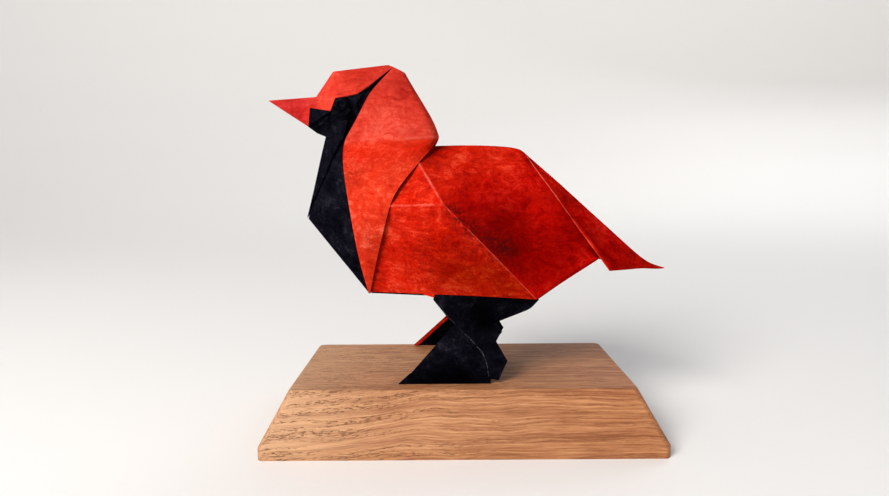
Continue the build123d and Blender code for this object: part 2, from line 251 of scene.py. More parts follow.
def red_paper(name, stops, neck_stops=None):
    """Long-fibred red paper: clouds and hairs, painted shade on panels turned to the tail, on panels turned
    from it and in dark blotches, and rubbed folds with a painted highlight on the tail's edge.

    With stops for the neck, the paper turns to them above the crease that runs round the neck, as painted
    light, with a painted highlight on the crease and painted shade below it and at the nape.
    """
    paint = Paint(name)
    cloud = paint.noise(34.0, 4.0, 0.6, 0.8)
    flock = paint.noise(190.0, 5.0, 0.70, 1.6)
    grain = paint.noise(1250.0, 4.0, 0.7)
    brushed = paint.noise(1.0, 4.0, 0.65, 0.8, paint.turned((0, 28, 0), (110.0, 200.0, 480.0)))
    hair = paint.noise(300.0, 1.5, 0.5, 5.0).near(0.5, 0.03)
    fine_hair = paint.noise(560.0, 1.0, 0.5, 4.0).near(0.47, 0.034)
    dark_hair = paint.noise(390.0, 1.0, 0.5, 4.5).near(0.56, 0.026)
    patch = paint.noise(120.0, 3.0, 0.6)
    tone = cloud * 0.36 + flock * 0.30 + grain * 0.14 + brushed * 0.20
    colour = paint.ramp(tone, stops)
    if neck_stops:
        along, _, up = paint.split(paint.place)
        level = up - along * CREASE_SLOPE
        above_crease = level.from_to(0.1236, 0.1266)
        # painted light: above the crease the neck and head turn to the muted pink neck stops
        colour = paint.mix(above_crease, colour, paint.ramp(tone, neck_stops))
        below_crease = level.near(0.1202, 0.0075)
        # painted shade: a darker, more orange band just below the neck's crease
        colour = paint.mix(below_crease * 0.90, colour, ORANGE_TINT, "MULTIPLY")
        crease = level.near(0.1254, 0.0012) * patch.from_to(0.38, 0.60)
        # painted highlight along the crease round the neck
        colour = paint.mix(crease * 0.28, colour, CREASE_HIGHLIGHT)
        nape = level.from_to(0.137, 0.152) * along.from_to(-0.046, -0.036)
        # painted shade at the top of the nape and hood
        colour = paint.mix(nape * 0.50, colour, NAPE_TINT, "MULTIPLY")
        beak = along.from_to(-0.056, -0.068)
        colour = paint.mix(beak, colour, BEAK_TINT, "MULTIPLY")
    colour = paint.mix(dark_hair * patch.from_to(0.42, 0.60) * 0.25, colour, DARK_HAIR)
    pale = (hair * 0.6 + fine_hair * 0.4) * patch.from_to(0.34, 0.58)
    colour = paint.mix(pale * 0.22, colour, PALE_HAIR)
    tailward_shade = (paint.attribute("tailward_shade") * (0.40 + cloud * 1.1)).math("MINIMUM", 1.0)
    # painted shade on panels turned towards the tail, away from the window light
    colour = paint.mix((tailward_shade * 2.0).math("MINIMUM", 1.0), colour, CRIMSON_TINT, "MULTIPLY")
    colour = paint.mix(tailward_shade * tailward_shade, colour, TAILWARD_SHADE_TINT, "MULTIPLY")
    shade = (paint.attribute("shade") * (0.40 + cloud * 1.1)).math("MINIMUM", 1.0)
    colour = paint.mix(shade, colour, SHADE_TINT, "MULTIPLY")
    feather = paint.noise(340.0, 6.0, 0.8, 2.5)
    shade_blotches = paint.attribute("shade_blotches") * feather.from_to(0.40, 0.60)
    # painted shade: dark blotches along the wing's shoulder-to-flank fold, by the collar's front edge and on
    # the back
    colour = paint.mix(shade_blotches.math("MINIMUM", 0.85), colour, SHADE_BLOTCH)
    rub = paint.noise(900.0, 3.0, 0.7)
    rubbed_and_lit = (paint.attribute("fold_distance") + rub * 0.0007).from_to(0.00030, 0.00085, 1.0, 0.0)
    # rubbed folds, and a painted highlight along the tail's lit edge
    colour = paint.mix(rubbed_and_lit * patch.from_to(0.25, 0.60) * 0.55, colour, RUBBED_AND_LIT_RED)
    height = flock * 0.5 + grain * 0.5 + pale * 0.6
    return paint.finish(
        Base_Color=colour,
        Roughness=0.68 + grain * 0.25,
        Normal=paint.bump(height, 0.00024, 0.6),
        Specular_IOR_Level=0.0,
    )


def black_paper():
    """Dark reverse of the same sheet, deeper in the shade of the body and greyer where the shins are rubbed."""
    paint = Paint("black_fibre_paper")
    cloud = paint.noise(95.0, 4.0, 0.6, 0.8)
    flock = paint.noise(420.0, 5.0, 0.7, 1.2)
    grain = paint.noise(1250.0, 4.0, 0.7)
    hair = paint.noise(360.0, 1.5, 0.5, 5.0).near(0.5, 0.03)
    tone = cloud * 0.38 + flock * 0.40 + grain * 0.22
    colour = paint.ramp(tone, BLUE_BLACK)
    colour = paint.mix(hair * cloud.from_to(0.4, 0.62) * 0.4, colour, GREY_HAIR)
    shade = paint.attribute("shade").math("MINIMUM", 1.0)
    colour = paint.mix(shade * 0.96, colour, DEEP_SHADE)
    rub = paint.noise(700.0, 4.0, 0.7)
    rubbed_and_lit = (paint.attribute("fold_distance") + rub * 0.0006).from_to(0.00030, 0.00075, 1.0, 0.0)
    colour = paint.mix(rubbed_and_lit * rub.from_to(0.42, 0.60) * 0.60, colour, RUBBED_BLACK)
    height = flock * 0.5 + grain * 0.5 + hair * 0.6
    return paint.finish(
        Base_Color=colour,
        Roughness=0.58 + grain * 0.3,
        Normal=paint.bump(height, 0.00024, 0.7),
        Specular_IOR_Level=0.0,
    )


def cut_paper():
    """Cut edge of the sheet, where the red has soaked in unevenly."""
    paint = Paint("cut_paper_edge")
    grain = paint.noise(1400.0, 4.0, 0.7)
    colour = paint.ramp(grain, CUT_RED)
    return paint.finish(Base_Color=colour, Roughness=0.75 + grain * 0.1, Specular_IOR_Level=0.2)


def oak():
    """Oiled oak: long grain that sweeps up towards the tail end, rows of pores and slanting rays."""
    paint = Paint("oiled_oak")
    along, across, up = paint.split(paint.place)
    sway = paint.noise(16.0, 3.0, 0.5, 0.4, paint.turned((0, 0, 0), (0.9, 1.6, 1.6)))
    ahead = along - 0.045
    sweep = ahead * ahead * 0.5 + sway * 0.009
    grain = paint.node("ShaderNodeCombineXYZ", None, {0: along, 1: across + sweep * 0.5, 2: up + sweep})

    def drawn_out(length, width, detail, rough, turn=(0, 0, 0), warp=0.0, place=grain):
        """Noise drawn out along the grain."""
        return paint.noise(1.0, detail, rough, warp, paint.turned(turn, (length, width, width), place))

    band = drawn_out(8.0, 240.0, 2.0, 0.5)
    streak = drawn_out(18.0, 1050.0, 5.0, 0.70, (0, 0, -0.3))
    fine = drawn_out(80.0, 1900.0, 5.0, 0.72, (0, 0, 0.4))
    line = drawn_out(20.0, 640.0, 3.0, 0.6, (0, 0, 0.2)).near(0.5, 0.024)
    ray = drawn_out(38.0, 900.0, 2.0, 0.5, (0, -7, 0), 0.2, paint.place).near(0.56, 0.020)
    pores = drawn_out(480.0, 2900.0, 2.0, 0.5, (0, 0, 0.8), 0.5)
    row = drawn_out(18.0, 520.0, 3.0, 0.6)
    cloud = paint.noise(24.0, 3.0, 0.5)
    head_end = along.from_to(0.03, -0.05)
    tail_end = along.from_to(-0.01, 0.06)
    pore = pores.from_to(0.54, 0.64) * row.from_to(0.48, 0.56) * (0.30 + head_end * 0.70)
    tone = (band - 0.5) * 0.22 + (streak - 0.5) * 0.76 + (fine - 0.5) * 0.70 + (cloud - 0.5) * 0.16
    colour = paint.ramp(tone + 0.5, OAK_BROWN)
    colour = paint.mix(along.from_to(-0.025, -0.080) * 0.50, colour, PALE_OAK)
    colour = paint.mix(line * row.from_to(0.42, 0.56) * (0.45 + tail_end * 0.35), colour, LATE_WOOD)
    colour = paint.mix(ray * head_end * 0.45, colour, RAY_BROWN)
    colour = paint.mix(pore.math("MINIMUM", 1.0) * 0.80, colour, PORE_BROWN)
    colour = paint.mix(along.from_to(-0.05, 0.09) * 0.75, colour, TAIL_END_TINT, "MULTIPLY")
    return paint.finish(
        Base_Color=colour,
        Roughness=0.48 + fine * 0.22,
        Normal=paint.bump(fine * 0.5 - pore * 1.2, 0.0002, 0.7),
        Specular_IOR_Level=0.28,
    )


# Folding


def at(x, out, up):
    """Point of the near side: along the board, out from the bird's middle plane and up from its soles."""
    return Vector((x, SETBACK - out, BOARD_TOP + up)) * MM


def between(start, end, share):
    return tuple(first + (last - first) * share for first, last in zip(start, end))


def moved(point, x=0.0, out=0.0):
    return (point[0] + x, point[1] + out, point[2])


def bowed(start, end, bulge, early=1.0):
    """Points from start to end that swell outwards by a bulge, nearer to the start where early is below one."""
    row = []
    for step in range(ROW_STEPS + 1):
        share = step / ROW_STEPS
        swell = 4 * share**early * (1 - share**early)
        row.append(moved(between(start, end, share), out=bulge * swell))
    return row


def wrapped(start, end, fullness, spread=2.6):
    """Points of a neck row: round at the nape in its first short step, then nearly flat to the front edge."""
    row = [start]
    for step in range(1, ROW_STEPS + 1):
        share = (step / ROW_STEPS)**spread
        row.append(moved(between(start, end, share), out=fullness * (1 - share)**NECK_FALL_OFF))
    return row


class Flap:
    """One visible flap of the sheet, laid out from fold points and finished with thickness."""

    def __init__(self, face, ply, smooth=False, levels=3, back=BLACK, rim=None):
        self.face = face
        self.back = back
        self.rim = face if rim is None else rim
        self.ply = ply
        self.smooth = smooth
        self.levels = levels
        self.mesh = bmesh.new()
        self.crease = self.mesh.edges.layers.float.new("crease_edge")
        self.pin = self.mesh.verts.layers.float.new("crease_vert")
        self.corners = {}

    def corner(self, point):
        """Corner of the sheet at a point, made once."""
        key = tuple(round(number, 4) for number in point)
        if key not in self.corners:
            self.corners[key] = self.mesh.verts.new(at(*key))
        return self.corners[key]

    def panel(self, *points):
        """Adds a panel between points."""
        self.mesh.faces.new([self.corner(point) for point in points])
        return self

    def rail(self, points):
        """Edges along a line of points."""
        corners = [self.corner(point) for point in points]
        pairs = list(zip(corners, corners[1:]))
        return [self.mesh.edges.get(pair) or self.mesh.edges.new(pair) for pair in pairs]

    def strips(self, rails):
        """Fills the space between neighbouring lines of points."""
        for first, second in zip(rails, rails[1:]):
            bmesh.ops.bridge_loops(self.mesh, edges=self.rail(first) + self.rail(second))
        return self

    def fold(self, *points, sharpness=1.0):
        """Marks a line of points as a fold."""
        for edge in self.rail(points):
            edge[self.crease] = sharpness
        return self

    def hold(self, *points):
        """Keeps corners of the sheet pointed."""
        for point in points:
            self.corner(point)[self.pin] = 1.0
        return self

    def mirrored(self, ridge=1.0):
        """Adds the far half and marks how sharp the fold on the middle plane is."""
        mesh = self.mesh
        geometry = mesh.verts[:] + mesh.edges[:] + mesh.faces[:]
        to_middle = Matrix.Translation((0, -SETBACK * MM, 0))
        bmesh.ops.mirror(mesh, geom=geometry, matrix=to_middle, merge_dist=SAME_PLACE, axis="Y")
        bmesh.ops.remove_doubles(mesh, verts=mesh.verts, dist=SAME_PLACE)
        for edge in mesh.edges:
            if all(abs(corner.co.y - SETBACK * MM) < SAME_PLACE for corner in edge.verts):
                edge[self.crease] = ridge
        return self.faced()

    def faced(self):
        """Turns each run of joined faces so that it looks away from the bird's middle."""
        bmesh.ops.recalc_face_normals(self.mesh, faces=self.mesh.faces)
        waiting = set(self.mesh.faces)
        while waiting:
            island = [waiting.pop()]
            for face in island:
                for edge in face.edges:
                    joined = waiting.intersection(edge.link_faces)
                    waiting -= joined
                    island += joined
            outward = 0.0
            for face in island:
                side = face.calc_center_median().y - SETBACK * MM
                outward += face.normal.y * face.calc_area() * side
            if outward < 0:
                bmesh.ops.reverse_faces(self.mesh, faces=island)
        return self

    def far_copy(self):
        """The same flap on the far side, a little further back."""
        copy = Flap(self.face, self.ply, self.smooth, self.levels, self.back, self.rim)
        copy.mesh = self.mesh.copy()
        move = Matrix.Translation((LEG_STAGGER * MM, 2 * SETBACK * MM, 0))
        flip = Matrix.Scale(-1, 4, (0, 1, 0))
        bmesh.ops.transform(copy.mesh, matrix=move @ flip, verts=copy.mesh.verts)
        bmesh.ops.reverse_faces(copy.mesh, faces=copy.mesh.faces)
        return copy

    def finish(self):
        """Mesh of the flap with rounded folds, both faces and its cut edges."""
        for face in self.mesh.faces:
            face.material_index = self.face
            face.smooth = True
        data = bpy.data.meshes.new("flap")
        self.mesh.to_mesh(data)
        self.mesh.free()
        flap = bpy.data.objects.new("flap", data)
        for material in PAPERS:
            data.materials.append(material)
        bpy.context.scene.collection.objects.link(flap)
        divide = flap.modifiers.new("divide", "SUBSURF")
        divide.subdivision_type = "CATMULL_CLARK" if self.smooth else "SIMPLE"
        divide.levels = self.levels
        divide.render_levels = self.levels
        soften = flap.modifiers.new("soften", "BEVEL")
        soften.width = FOLD_WIDTH
        soften.segments = 2
        soften.limit_method = "ANGLE"
        soften.angle_limit = math.radians(FOLD_ANGLE)
        thicken = flap.modifiers.new("thicken", "SOLIDIFY")
        thicken.thickness = self.ply * MM
        thicken.offset = -1
        thicken.use_even_offset = True
        thicken.thickness_clamp = 1.0
        thicken.material_offset = self.back - self.face
        thicken.material_offset_rim = self.rim - self.face
        view = bpy.context.evaluated_depsgraph_get()
        done = bpy.data.meshes.new_from_object(flap.evaluated_get(view))
        bpy.data.objects.remove(flap)
        return done


# Fold points: along, out, up in millimetres

BOW = (-40.0, 1.4, 33.0)
SHOULDER = (-7.4, 32.0, 73.0)
FLANK = (29.7, 29.0, 34.6)
RUMP = (56.9, 17.1, 49.0)
TAIL_ROOT = (28.0, 0.0, 93.8)
TAIL_CORNER = (61.4, 20.0, 44.8)
THROAT_SIDE = (-18.6, 15.0, 91.2)
TAIL_EDGE_FOLD = [TAIL_ROOT, (32.4, 3.4, 86.7), (38.4, 7.0, 78.2), (50.3, 13.0, 61.0), TAIL_CORNER]
SHIN_FOLD = [
    (-12.0, 12.2, 31.2),
    (-6.05, 19.4, 25.6),
    (-0.7, 22.9, 20.5),
    (2.5, 24.4, 18.0),
    (8.2, 28.5, 12.2),
    (9.7, 31.0, 8.2),
    (10.4, 31.0, 3.5),
]

# Rows of the collar from the hood down to the bow, each from its rear edge to its front edge
COLLAR = [
    wrapped((-28.6, 0, 130.5), (-28.9, 0.4, 130.0), 0.0),
    wrapped((-25.4, 0, 129.0), (-31.0, 2.4, 127.2), 0.9),
    wrapped((-23.5, 0, 127.9), (-33.0, 4.1, 124.9), 1.9),
    wrapped((-22.4, 0, 125.8), (-36.6, 8.0, 120.2), 3.4),
    wrapped((-18.2, 0, 118.6), (-39.0, 10.4, 116.4), 5.2),
    wrapped((-13.2, 0, 110.4), (-41.6, 11.6, 110.6), 6.4),
    wrapped((-10.5, 0, 105.3), (-44.9, 13.0, 104.4), 7.0),
    wrapped((-9.2, 0, 101.0), (-47.4, 13.4, 100.0), 7.4),
    wrapped((-9.9, 5.4, 98.4), (-48.5, 13.6, 97.0), 5.2, 2.3),
    wrapped((-13.6, 11.0, 93.9), (-48.9, 13.9, 93.0), 2.0, 1.7),
    bowed((-16.8, 17.8, 90.2), (-49.0, 14.0, 88.0), 2.6, 0.9),
    bowed((-26.0, 23.4, 79.2), (-48.1, 13.9, 79.7), 2.0),
    bowed((-29.2, 25.0, 72.0), (-47.1, 13.0, 70.0), 1.6),
    bowed((-33.6, 16.9, 56.8), (-45.2, 10.3, 56.0), 1.2),
    bowed((-37.2, 9.5, 44.7), (-43.4, 6.8, 44.5), 0.6),
    bowed((-40.2, 2.7, 32.5), (-40.9, 2.3, 32.5), 0.0),
]


def on_wing(x, up):
    """Point of the flat lower wing panel."""
    corners = np.array([BOW, FLANK, SHOULDER])
    rule = np.linalg.solve(np.c_[np.ones(3), corners[:, 0], corners[:, 2]], corners[:, 1])
    return (x, float(rule @ (1, x, up)), up)


BREAST = on_wing(-31.0, 72.0)


def collar():
    """Hood, neck and the long points that come down to the bow, with the crease round the neck."""
    flap = Flap(LIT_RED, COLLAR_PLY, smooth=True, rim=BLACK).strips(COLLAR)
    flap.hold(COLLAR[0][0], COLLAR[2][0], COLLAR[-1][0], COLLAR[-1][-1])
    crease = COLLAR[7]
    flap.fold(*crease, sharpness=0.7)
    return flap.mirrored(ridge=0.9)


def body():
    """Back and wing panels, and the strip that is tucked under the collar."""
    flap = Flap(RED, PLY, smooth=True)
    breast_low = on_wing(-35.4, 56.8)
    breast_foot = on_wing(-38.6, 44.7)
    edge = bowed((-12.5, 0, 97.0), THROAT_SIDE, 0.8)
    ridge = [
        (-2.0, 0, 97.4),
        (6.6, 0, 97.4),
        (13.2, 0, 97.3),
        (19.8, 0, 97.0),
        (24.6, 0, 96.4),
        (27.0, 0, 95.2),
        (28.6, 0, 93.4),
        (29.9, 0, 91.4),
    ]
    wing_fold = [between(SHOULDER, FLANK, share / 4) for share in range(5)]
    hem_middle = between(FLANK, RUMP, 0.5)
    under_tail = (60.2, 13.2, 50.7)
    hem = wing_fold + [hem_middle, RUMP, under_tail]
    bulges = [3.6, 3.6, 3.4, 3.0, 2.5, 1.3, 0.4, 0.0]
    rows = [edge] + [bowed(top, foot, bulge) for top, foot, bulge in zip(ridge, hem, bulges)]
    flap.strips(rows)
    lower_side = moved(between(THROAT_SIDE, BREAST, 0.55), out=0.6)
    flap.panel(SHOULDER, THROAT_SIDE, lower_side, BREAST)
    flap.panel(*reversed(wing_fold), BREAST, breast_low, breast_foot, BOW)
    border = [THROAT_SIDE, lower_side, BREAST, breast_low, breast_foot]
    tuck = [moved(between(row[1], row[2], 0.4), out=-1.4) for row in COLLAR[10:15]]
    flap.strips([border, tuck])
    flap.fold(*border, BOW)
    flap.fold(THROAT_SIDE, SHOULDER, BREAST)
    flap.fold(*wing_fold, BOW)
    flap.fold(FLANK, hem_middle, RUMP, under_tail)
    flap.fold(*edge)
    flap.hold(SHOULDER, FLANK, RUMP, BOW, THROAT_SIDE, BREAST)
    return flap.mirrored(ridge=0.6)


def belly():
    """Dark underside between the wings, a little below their edges, and the vent under the tail."""
    flap = Flap(BLACK, PLY)
    inside = [(-38.8, 0.9, 36.0), (28.6, 26.6, 37.6), (42.4, 21.6, 44.6), (59.0, 12.6, 52.6)]
    lip = [(-39.6, 0.9, 32.3), (29.2, 28.4, 33.7), (43.0, 22.5, 41.5), (59.6, 13.0, 50.2)]
    keel = [(-40.2, 0, 32.5), (29.7, 0, 36.4), (43.0, 0, 48.6), (57.0, 0, 60.0)]
    flap.strips([inside, lip, keel])
    return flap.mirrored()


def tail():
    """Tail with a sharp ridge and a tip that turns up."""
    flap = Flap(RED, PLY, smooth=True)
    ridge = [
        (36.0, 0, 86.7),
        (44.0, 0, 79.9),
        (61.8, 0, 63.8),
        (75.4, 0, 51.3),
        (82.2, 0, 45.7),
        (86.4, 0, 43.8),
        (90.8, 0, 42.6),
    ]
    edge = TAIL_EDGE_FOLD[1:] + [(70.2, 13.6, 44.4), (78.9, 7.8, 44.2), (85.0, 3.8, 42.6)]
    flap.panel(TAIL_ROOT, edge[0], ridge[0])
    flap.strips([ridge, edge])
    flap.hold(TAIL_ROOT, TAIL_CORNER, ridge[-1])
    return flap.mirrored(ridge=1.0)


def chest():
    """Dark chest, anchored inside the collar and low down joined to it, so that no light shows between them."""
    flap = Flap(BLACK, PLY)
    rows = COLLAR[6:]
    edges = [moved(row[-1], x=0.9, out=-min(1.2, row[-1][1])) for row in rows]
    depths = [1.3, 1.3, 1.3, 1.3, 1.3, 1.0, 0.6, 0.5, 0.5, 0.6]
    anchors = [moved(between(row[4], row[2], 0.7), out=-depth) for row, depth in zip(rows, depths)]
    throat = (-57.0, 0, 102.0)
    apex = (-66.9, 0, 65.4)
    bow = (-41.2, 0, 32.4)
    flap.strips([edges, anchors])
    flap.panel(throat, apex, *reversed(edges[:6]))
    flap.panel(apex, bow, *reversed(edges[5:]))
    return flap.mirrored()


def throat_band():
    """Long pleat that hangs from the mask down to the point of the chest."""
    flap = Flap(BLACK, BAND_PLY)
    keel = [(-58.0, 0, 102.0), (-61.4, 0, 89.6), (-65.0, 0, 75.4), (-67.5, 0, 65.7)]
    rear = [(-50.6, 9.6, 98.4), (-55.0, 6.6, 91.8), (-58.8, 4.2, 83.8), (-64.4, 1.3, 73.8)]
    behind_cheek = [(-49.1, 10.6, 100.0), (-48.1, 11.1, 103.3), (-47.0, 11.2, 107.0)]
    under_eye = (-51.8, 8.8, 107.8)
    under_chin = (-56.8, 4.6, 103.9)
    flap.panel(under_eye, under_chin, keel[0], rear[0], *behind_cheek)
    for top, low in ((0, 1), (1, 2), (2, 3)):
        flap.panel(keel[top], keel[low], rear[low], rear[top])
    return flap.mirrored()


def crown():
    """Crown, face and beak, with the underside of the beak."""
    flap = Flap(LIT_RED, PLY, rim=CUT_EDGE)
    tip = (-83.0, 0, 116.6)
    brow = (-62.0, 0, 118.0)
    front = (-54.5, 0, 128.6)
    top = (-30.6, 0, 131.3)
    back = (-28.6, 0, 130.5)
    temple = (-38.1, 8.4, 121.6)
    ear = (-42.8, 11.2, 117.9)
    lid_rear = (-47.8, 11.2, 116.8)
    lid = (-52.0, 10.5, 116.2)
    cheek = (-54.2, 10.0, 111.0)
    gape = (-63.5, 6.5, 112.8)
    jaw = (-64.7, 5.0, 105.1)
    lip = (-76.8, 1.7, 112.6)
    flap.panel(tip, lip, brow)
    flap.panel(brow, lip, jaw, gape)
    flap.panel(brow, gape, cheek, lid)
    flap.panel(front, brow, lid)
    flap.panel(top, front, lid, lid_rear, ear)
    flap.panel(top, ear, temple, back)
    lip_middle = (-76.8, 0, 112.6)
    jaw_middle = (-64.7, 0, 105.1)
    flap.panel(tip, lip_middle, lip)
    flap.panel(lip, lip_middle, jaw_middle, jaw)
    return flap.mirrored()


def mask():
    """Dark face under the crown: lining, cheek, chin and neck."""
    flap = Flap(BLACK, PLY)
    lid = (-51.4, 8.6, 117.0)
    ear = (-42.6, 9.4, 118.4)
    cheek = (-53.6, 8.4, 111.4)
    gape = (-62.4, 5.2, 113.2)
    jaw = (-63.2, 4.2, 105.6)
    chin = (-61.9, 0, 102.6)
    throat = (-57.5, 0, 101.9)
    band = (-51.0, 6.4, 98.2)
    neck_low = (-41.5, 11.6, 97.6)
    neck = (-35.6, 9.6, 112.0)
    hood = (-31.0, 3.0, 125.0)
    hood_top = (-27.6, 0, 128.6)
    crown_back = (-31.5, 0, 129.4)
    flap.panel(gape, jaw, cheek)
    flap.panel(jaw, chin, cheek)
    flap.panel(chin, throat, band)
    flap.panel(chin, band, cheek)
    flap.panel(cheek, band, neck_low, neck, ear, lid)
    flap.panel(ear, neck, hood, hood_top, crown_back)
    return flap.mirrored()


def face_folds():
    """Small dark folds about the eye: cheek triangle, jaw fold, chin, lower lid and the fold behind the eye."""
    cheek = [(-63.5, 6.4, 112.7), (-64.0, 6.0, 105.9), (-54.2, 10.1, 110.7)]
    jaw = [
        (-60.4, 6.4, 105.9),
        (-59.7, 6.9, 105.3),
        (-56.8, 8.4, 106.6),
        (-55.2, 9.4, 108.2),
        (-55.9, 9.0, 109.1),
        (-58.2, 7.4, 107.2),
    ]
    chin = [(-64.7, 4.7, 105.0), (-61.5, 1.0, 102.4), (-60.7, 5.6, 105.4)]
    lower_lid = [
        (-51.6, 11.9, 108.4),
        (-49.6, 12.5, 108.3),
        (-47.4, 12.8, 109.2),
        (-45.4, 12.5, 111.2),
        (-46.8, 11.4, 112.2),
        (-49.8, 11.2, 110.4),
    ]
    behind_eye = [
        (-47.2, 10.7, 116.4),
        (-45.2, 11.3, 115.5),
        (-44.8, 11.7, 113.8),
        (-43.8, 12.2, 111.8),
        (-42.9, 11.6, 114.6),
        (-40.2, 10.0, 118.3),
        (-42.8, 10.4, 117.6),
    ]
    flap = Flap(BLACK, SMALL_PLY, levels=2)
    for fold in (cheek, jaw, chin, lower_lid, behind_eye):
        flap.panel(*fold)
    return flap.mirrored()


def near_leg():
    """Long foot, the thigh with its pleated hock, and the red corner at the thigh's root."""
    toe = (-26.2, 30.2, 0)
    heel = (11.3, 30.2, 0)
    toe_ridge = (-20.9, 30.2, 4.8)
    foot_ridge = (-2.2, 30.2, 9.8)
    heel_ridge = (11.9, 30.2, 9.0)
    ankle = (-2.95, 22.3, 23.0)
    knee = (2.4, 23.7, 18.0)
    shin = (10.8, 27.2, 13.0)
    foot = Flap(BLACK, FOOT_PLY)
    foot.panel(toe, heel, heel_ridge, foot_ridge, toe_ridge)
    foot.panel(toe_ridge, foot_ridge, ankle)
    foot.panel(foot_ridge, heel_ridge, shin, knee, ankle)

    shank = Flap(BLACK, LEG_PLY)
    front = SHIN_FOLD[0]
    crease = SHIN_FOLD[1:6] + [(10.6, 31.0, 2.5)]
    thigh_front = (-10, 12.3, 41.7)
    thigh_rear = (21.3, 24.2, 43.0)
    rear = (30.9, 27.6, 34.2)
    rear_low = (27.6, 27.3, 30.7)
    hock = (13.6, 25.4, 24.3)
    pleat_out = (16.2, 26.3, 20.4)
    pleat_in = (13.5, 26.3, 17.1)
    spur = (18.3, 28.4, 9.0)
    spur_low = (14.6, 29.6, 1.2)
    shank.panel(thigh_front, front, rear_low, rear, thigh_rear)
    shank.panel(front, crease[0], crease[1], hock, rear_low)
    shank.panel(crease[1], crease[2], pleat_in, pleat_out, hock)
    shank.panel(crease[2], crease[3], crease[4], spur, pleat_in)
    shank.panel(crease[4], crease[5], spur_low, spur)

    red_root = Flap(RED, SMALL_PLY, levels=2)
    red_root.panel((-16.4, 11.3, 33.4), (-11.6, 12.8, 32.2), (-11.2, 12.6, 35.0))
    return [foot.faced(), shank.faced(), red_root.faced()]


def far_turn():
    """Red turn along the inner front edge of the far foot."""
    turn = Flap(RED, TURN_PLY, levels=2, back=RED)
    toe, toe_inner = (-26.0, 28.2, 0.3), (-24.0, 28.2, 0.3)
    ridge, ridge_inner = (-21.0, 28.2, 4.9), (-19.9, 28.2, 4.0)
    ankle, ankle_inner = (-3.4, 20.5, 23.0), (-2.0, 20.4, 22.0)
    turn.panel(toe, ridge, ridge_inner, toe_inner)
    turn.panel(ridge, ankle, ankle_inner, ridge_inner)
    return turn.faced().far_copy()


# Rubbed folds, and the tail's edge with a painted highlight along it, each with a count: the higher it is, the
# thinner the line
RUBBED_AND_LIT_FOLDS = [
    ([THROAT_SIDE, SHOULDER, BREAST], 0.6),
    ([SHOULDER, FLANK], 2.4),
    # the tail's edge: a painted highlight along its lit edge
    (TAIL_EDGE_FOLD, 1.0),
    (SHIN_FOLD, 0.9),
]

# Spots of painted shade: centre, reach in millimetres and strength
# painted shade on panels turned towards the tail
TAILWARD_SHADE_SPOTS = [
    ((20.0, 27.0, 58.0), 27.0, 1.15),
    ((42.0, 20.0, 50.0), 26.0, 1.35),
    ((9.0, 14.0, 88.0), 16.0, 0.14),
    ((66.0, 9.0, 54.0), 22.0, 0.58),
    ((33.0, 8.0, 82.0), 14.0, 0.60),
    ((-16.0, 26.0, 8.0), 10.0, 0.60),
]
SHADE_SPOTS = [
    ((-2.0, 20.5, 46.0), 14.0, 1.00),
    ((17.0, 26.0, 43.0), 18.0, 1.00),
    ((8.0, 22.0, 27.0), 13.0, 0.95),
    ((22.0, 27.0, 32.0), 9.0, 0.80),
    ((0.0, 30.0, 1.0), 9.0, 1.00),
    ((-11.0, 30.0, 1.5), 8.0, 0.95),
]
# painted shade in dark blotches along the shoulder-to-flank fold, by the collar's front edge and on the back
SHADE_BLOTCH_SPOTS = [
    ((-3.0, 31.5, 70.5), 4.2, 1.1),
    ((0.5, 31.3, 66.8), 4.4, 1.3),
    ((4.4, 31.0, 63.6), 4.6, 1.4),
    ((10.5, 30.2, 59.6), 5.2, 1.2),
    ((17.0, 29.5, 56.5), 6.4, 1.5),
    ((-36.0, 12.0, 58.0), 7.0, 0.6),
    ((-44.0, 13.0, 84.0), 6.0, 0.5),
    ((18.0, 27.0, 70.0), 6.0, 0.7),
]


def sides(points, stagger=0.0):
    """A line of fold points on the near side and the same line on the far side."""
    near = [at(*point) for point in points]
    far = [at(x + stagger, -out, up) for x, out, up in points]
    return [near, far]


def distance_to_folds(places):
    """Distance to the nearest rubbed fold, the tail's edge with its painted highlight among them, times that
    fold's count.
    """
    nearest = np.full(len(places), FAR_FROM_FOLDS)
    for points, count in RUBBED_AND_LIT_FOLDS:
        for line in sides(points, LEG_STAGGER if points is SHIN_FOLD else 0.0):
            for start, end in zip(line, line[1:]):
                run = np.array(end - start)
                offset = places - np.array(start)
                share = np.clip(offset @ run / (run @ run), 0, 1)
                gap = np.linalg.norm(offset - share[:, None] * run, axis=1)
                nearest = np.minimum(nearest, gap * count)
    return nearest


def spotted(places, spots):
    """Share of a painted shade at each place, fading out around its spots on both sides."""
    share = np.zeros(len(places))
    for spot, reach, strength in spots:
        for centre in sides([spot]):
            gap = np.linalg.norm(places - np.array(centre[0]), axis=1) / (reach * MM)
            share = np.maximum(share, strength * np.exp(-gap * gap))
    return share


def relaxed(point):
    """Small swells that a folded sheet takes up by itself, none at the soles."""
    hold = min(1.0, max(0.0, (point.z - BOARD_TOP * MM) / SWELL_RISE))
    return noise.noise_vector(point * SWELL_SCALE) * SWELL_HEIGHT * hold


EYE_CENTRE = (-49.4, 8.0, 113.3)
EYE_RADIUS = 2.85
EYE_LENGTH = 3.9
EYE_SIDES = 28
# Width and step outwards of each ring on the eye's end: rim, groove and domed core
EYE_RINGS = [(0.55, 0.0), (0.25, -0.8), (0.35, 0.0), (0.25, 0.6), (0.5, 0.35), (0.5, 0.15)]


